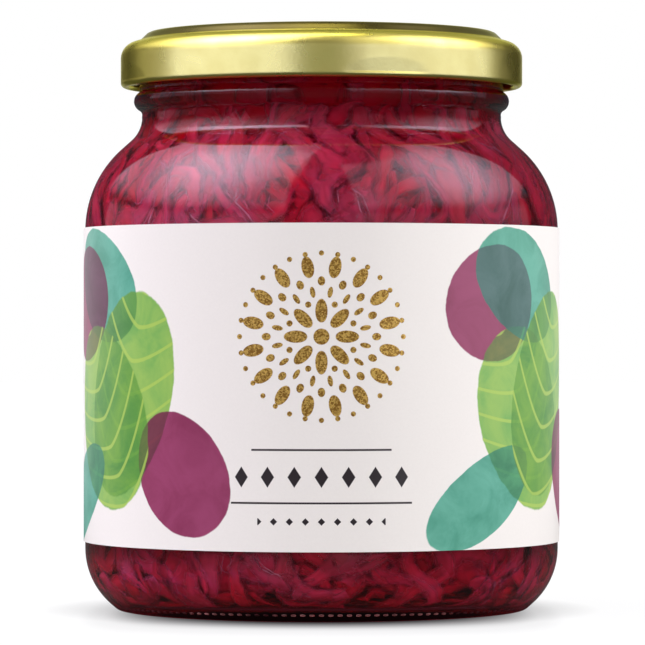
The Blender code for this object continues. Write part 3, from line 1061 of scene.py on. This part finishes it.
foil = ramp(tree, away, 1.35, 1.25)
for petals in (
    ring_of(16, 11.4, 1.75, 1.0),
    ring_of(32, 13.5, 0.42, 0.42, 0.5),
    ring_of(16, 9.0, 0.75, 0.6, 0.5),
    ring_of(16, 7.3, 0.9, 0.42),
    ring_of(8, 4.2, 1.9, 1.0, 0.5),
    ring_of(8, 5.6, 0.5, 0.5),
):
    foil = sums(tree, "MAXIMUM", foil, petals)

# %% [markdown]
# Plain rules and a row of lozenges stand where a label has its words, and small rules stand for the small
# print at the back. Each is a mask made from distances round the label and up it.

# %% Rules and lozenges in dark ink
round_by, up_by, _ = axes_of(tree, flat)


def near(value, place, reach):
    """1 where a value is within reach of a place."""
    off = sums(tree, "ABSOLUTE", sums(tree, "SUBTRACT", value, place))
    return ramp(tree, off, reach + 0.05, reach - 0.05)


def rule(up, half, reach, at=0):
    return times(tree, near(up_by, up, half), near(round_by, at, reach))


def lozenges(up, pitch, half_width, half_height, reach):
    off = sums(tree, "ABSOLUTE", sums(tree, "SUBTRACT", up_by, up))
    share = sums(tree, "DIVIDE", sums(tree, "PINGPONG", round_by, pitch / 2), half_width)
    size = sums(tree, "MULTIPLY_ADD", off, 1 / half_height, share)
    return times(tree, ramp(tree, size, 1.05, 0.95), near(round_by, 0, reach))


marks = [rule(28.2, 0.16, 11.5), rule(19.6, 0.16, 15.0)]
marks += [lozenges(23.8, 4.4, 1.1, 1.7, 15.3), lozenges(16.6, 2.6, 0.6, 0.6, 10.5)]
marks += [rule(56 - 3.2 * line, 0.3, 12 if line % 4 == 3 else 15, at=99) for line in range(9)]
dark = marks[0]
for mark in marks[1:]:
    dark = sums(tree, "MAXIMUM", dark, mark)
colour = mix(tree, dark, colour, srgb(38, 28, 30))

# %% Foil and paper together
grains = add(tree, "TexVoronoi")
feed(tree, grains.inputs["Vector"], place)
grains.inputs["Scale"].default_value = 4200
sparkle = add(tree, "SeparateColor")
tree.links.new(grains.outputs["Color"], sparkle.inputs[0])
leaf = mix(tree, ramp(tree, sparkle.outputs[0], 0.15, 0.9), srgb(150, 108, 34), srgb(226, 188, 92))
colour = mix(tree, foil, colour, leaf)
feed(tree, shader.inputs["Base Color"], colour)
feed(tree, shader.inputs["Metallic"], times(tree, foil, 0.6))
fibres = bumped(tree, grain, 0.12, 0.00003)
foil_height = times(tree, foil, sparkle.outputs[1])
feed(tree, shader.inputs["Normal"], bumped(tree, foil_height, 0.35, 0.00005, fibres))
label.data.materials.append(paper)
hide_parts("wrap_label")

# %% [markdown]
# ## The studio
#
# The photograph is a packshot: pure white behind, and a large soft light high on each side, brightest in
# its middle and fading outwards. Between them, towards the camera, is a gap, which is the darker stripe
# down the middle of the lid. Lamps could stand for them, but the world can be painted with the same glows
# in the same directions, and it lights and is mirrored alike. The camera itself sees plain white.

# %% Directions in the sky
world = bpy.data.worlds.new("studio")
world.use_nodes = True
tree = world.node_tree
sky = add(tree, "TexCoord").outputs["Generated"]
DEGREES = 180 / math.pi
x, y, z = axes_of(tree, sky)
bearing = times(tree, sums(tree, "ARCTAN2", x, times(tree, y, -1.0)), DEGREES)
climb = times(tree, sums(tree, "ARCSINE", z), DEGREES)


def glow(at, up, inner, outer, strength):
    """A round soft glow about a bearing and a height, in degrees."""
    turn = math.radians(at)
    rise = math.radians(up)
    aim = (math.sin(turn) * math.cos(rise), -math.cos(turn) * math.cos(rise), math.sin(rise))
    along = vectors(tree, "DOT_PRODUCT", sky, aim, result="Value")
    off = times(tree, sums(tree, "ARCCOSINE", along), DEGREES)
    return ramp(tree, off, outer, inner, 0.0, strength)


def between(value, low, high, soft_low, soft_high):
    """1 between two values, with a soft end at each."""
    from_low = ramp(tree, value, low - soft_low, low + soft_low)
    return times(tree, from_low, ramp(tree, value, high + soft_high, high - soft_high))


def sheet_of_light(first, last, low, high, strength):
    """An even glow between two bearings and two heights."""
    sideways = between(bearing, first, last, 1.5, 1.5)
    return times(tree, sideways, between(climb, low, high, 6, 3), strength)


def kept_within(light, first, last):
    """Cuts a glow off at two bearings, as the frame of a soft box does."""
    return times(tree, light, between(bearing, first, last, 4, 1.5))


# %% Paint the lights
LILAC = (1.0, 0.93, 1.14, 1)
left = kept_within(glow(-76, 54, 5, 42, 4.9), -140, -14)
right = kept_within(glow(86, 43, 4, 36, 3.1), 14, 129)
lights = sums(tree, "ADD", left, right)
for light in (
    sheet_of_light(-140, -18, 20, 82, 1.0),
    sheet_of_light(17, 129, 20, 66, 0.85),
    sheet_of_light(-130, -18, -6, 14, 0.35),
    sheet_of_light(17, 120, -6, 14, 0.3),
    0.05,
):
    lights = sums(tree, "ADD", lights, light)
rays = add(tree, "LightPath")
strength = sums(tree, "MAXIMUM", rays.outputs["Is Camera Ray"], lights)
background = tree.nodes["Background"]
feed(tree, background.inputs["Strength"], strength)
feed(tree, background.inputs["Color"], mix(tree, rays.outputs["Is Camera Ray"], LILAC, (1, 1, 1, 1)))
bpy.context.scene.world = world
bpy.context.scene.view_settings.view_transform = "Standard"

# %% [markdown]
# A packshot is often put together from several exposures, each lit for one part: one for the metal, one for
# the paper, one for the food. Panels of light do the same here. Light linking lets each reach its own
# pieces alone, so none of them shows in the glass. Those behind the jar are for its other sides.

# %% Panels for single pieces
PANEL_AWAY = 0.5


def panel(name, pieces, bearing, half_angle, radiance, colour=(1, 1, 1), height=0.42, middle=0.1, climb=0):
    width = 2 * PANEL_AWAY * math.tan(math.radians(half_angle))
    light = bpy.data.lights.new(name, "AREA")
    light.shape = "RECTANGLE"
    light.size = width
    light.size_y = height
    light.energy = radiance * math.pi * width * height
    light.color = colour
    made = new_object(name, light)
    turn = math.radians(bearing)
    rise = math.radians(climb)
    out = PANEL_AWAY * math.cos(rise)
    made.location = (out * math.sin(turn), -out * math.cos(turn), middle + PANEL_AWAY * math.sin(rise))
    made.rotation_euler = (math.radians(90) - rise, 0, turn)
    made.visible_camera = False
    receivers = bpy.data.collections.new(name + "_reaches")
    for one in pieces:
        receivers.objects.link(one)
    made.light_linking.receiver_collection = receivers


COOL = (0.94, 0.96, 2.2)
panel("lid_left", [lid], -54, 40, 0.90, COOL, height=0.30, middle=0.16)
panel("lid_right", [lid], 63, 46, 0.86, COOL, height=0.30, middle=0.16)
panel("lid_front", [lid], 0, 13, 0.26, (1, 1, 1.15))
panel("lid_above", [lid], 0, 10, 4.4, (1, 0.93, 0.5), height=0.16, climb=88)
panel("label_front", [label], 0, 45, 0.21)
panel("label_right", [label], 70, 35, 1.3)
panel("cabbage_front", [shreds, core], 0, 22, 4.2, height=0.12, middle=0.06)
panel("lid_behind", [lid], 180, 20, 0.6)
panel("lid_high_behind", [lid], 180, 35, 0.3, height=0.5, climb=50)
for bearing in (135, -135):
    panel("label_behind_%d" % bearing, [label], bearing, 30, 0.8)

# %% [markdown]
# The floor is a plain sheet. To the camera it glows white, less so in a pool under the jar, which is the
# soft shadow of the photograph, and in the crevice where the glass touches it.

# %% Floor
floor_build = bmesh.new()
bmesh.ops.create_grid(floor_build, x_segments=1, y_segments=1, size=3.0)
floor_mesh = bpy.data.meshes.new("floor")
floor_build.to_mesh(floor_mesh)
floor_build.free()
floor = new_object("floor", floor_mesh)
floor.location.z = -0.0001
white, tree, shader = new_material("studio_floor", Roughness=0.7, Specular_IOR_Level=0.1)
place = add(tree, "TexCoord").outputs["Object"]
shade = add(tree, "AmbientOcclusion", samples=6)
shade.inputs["Distance"].default_value = 0.01
tone = mix(tree, noise(tree, place, 40, 2), (0.93, 0.93, 0.93, 1), (0.95, 0.95, 0.95, 1))
feed(tree, shader.inputs["Base Color"], mix(tree, 1.0, tone, (0.03, 0.03, 0.03, 1), "MULTIPLY"))
x, y, _ = axes_of(tree, place)
side = sums(tree, "ABSOLUTE", x)
steep = sums(tree, "POWER", sums(tree, "DIVIDE", side, 0.0365), 8.0)
sideways = times(tree, side, sums(tree, "MULTIPLY_ADD", steep, 0.25, 0.85))
reach = length_of(tree, combined(tree, sideways, sums(tree, "ADD", y, 0.014)))
near_shadow = ramp(tree, reach, 0.016, 0.041, 0, 0.90)
pool = sums(tree, "ADD", near_shadow, ramp(tree, reach, 0.036, 0.060, 0, 0.13))
crevice = sums(tree, "MULTIPLY_ADD", shade.outputs["AO"], 0.4, 0.6)
seen_straight = add(tree, "LightPath").outputs["Is Camera Ray"]
feed(tree, shader.inputs["Emission Strength"], times(tree, pool, crevice, seen_straight))
feed(tree, shader.inputs["Emission Color"], tone)

# %% [markdown]
# The glass would mirror a white floor and turn grey. In the photograph it doesn't, so the floor is dim to a
# ray that comes straight off the glass or through it, and a plain soft white to scattered light.

# %% Keep the floor out of the glass
diffuse_depth = add(tree, "LightPath").outputs["Diffuse Depth"]
scattered = sums(tree, "GREATER_THAN", diffuse_depth, 0.5)
plain = add(tree, "Emission")
# Painted light: to rays other than the camera's, the floor under the foot gives off red light.
red_bounce_under_foot = ramp(tree, length_of(tree, place), 0.040, 0.034)
feed(tree, plain.inputs["Color"], mix(tree, red_bounce_under_foot, (1, 1, 1, 1), (0.5, 0.05, 0.09, 1)))
feed(tree, plain.inputs["Strength"], sums(tree, "MULTIPLY_ADD", scattered, 0.62, 0.08))
choose_by(tree, seen_straight, plain, shader)
floor_mesh.materials.append(white)

# %% [markdown]
# The camera is level with the middle of the jar, with a long lens, as the photograph's slight perspective
# says.

# %% Camera
lens = bpy.data.cameras.new("camera")
lens.sensor_width = 36.0
lens.lens = 237.2
lens.shift_y = 0.0085
lens.clip_start = 0.01
camera = new_object("camera", lens)
camera.location = (0.00017, -0.726, 0.0479)
camera.rotation_euler = (math.radians(90), 0, 0)
bpy.context.scene.camera = camera
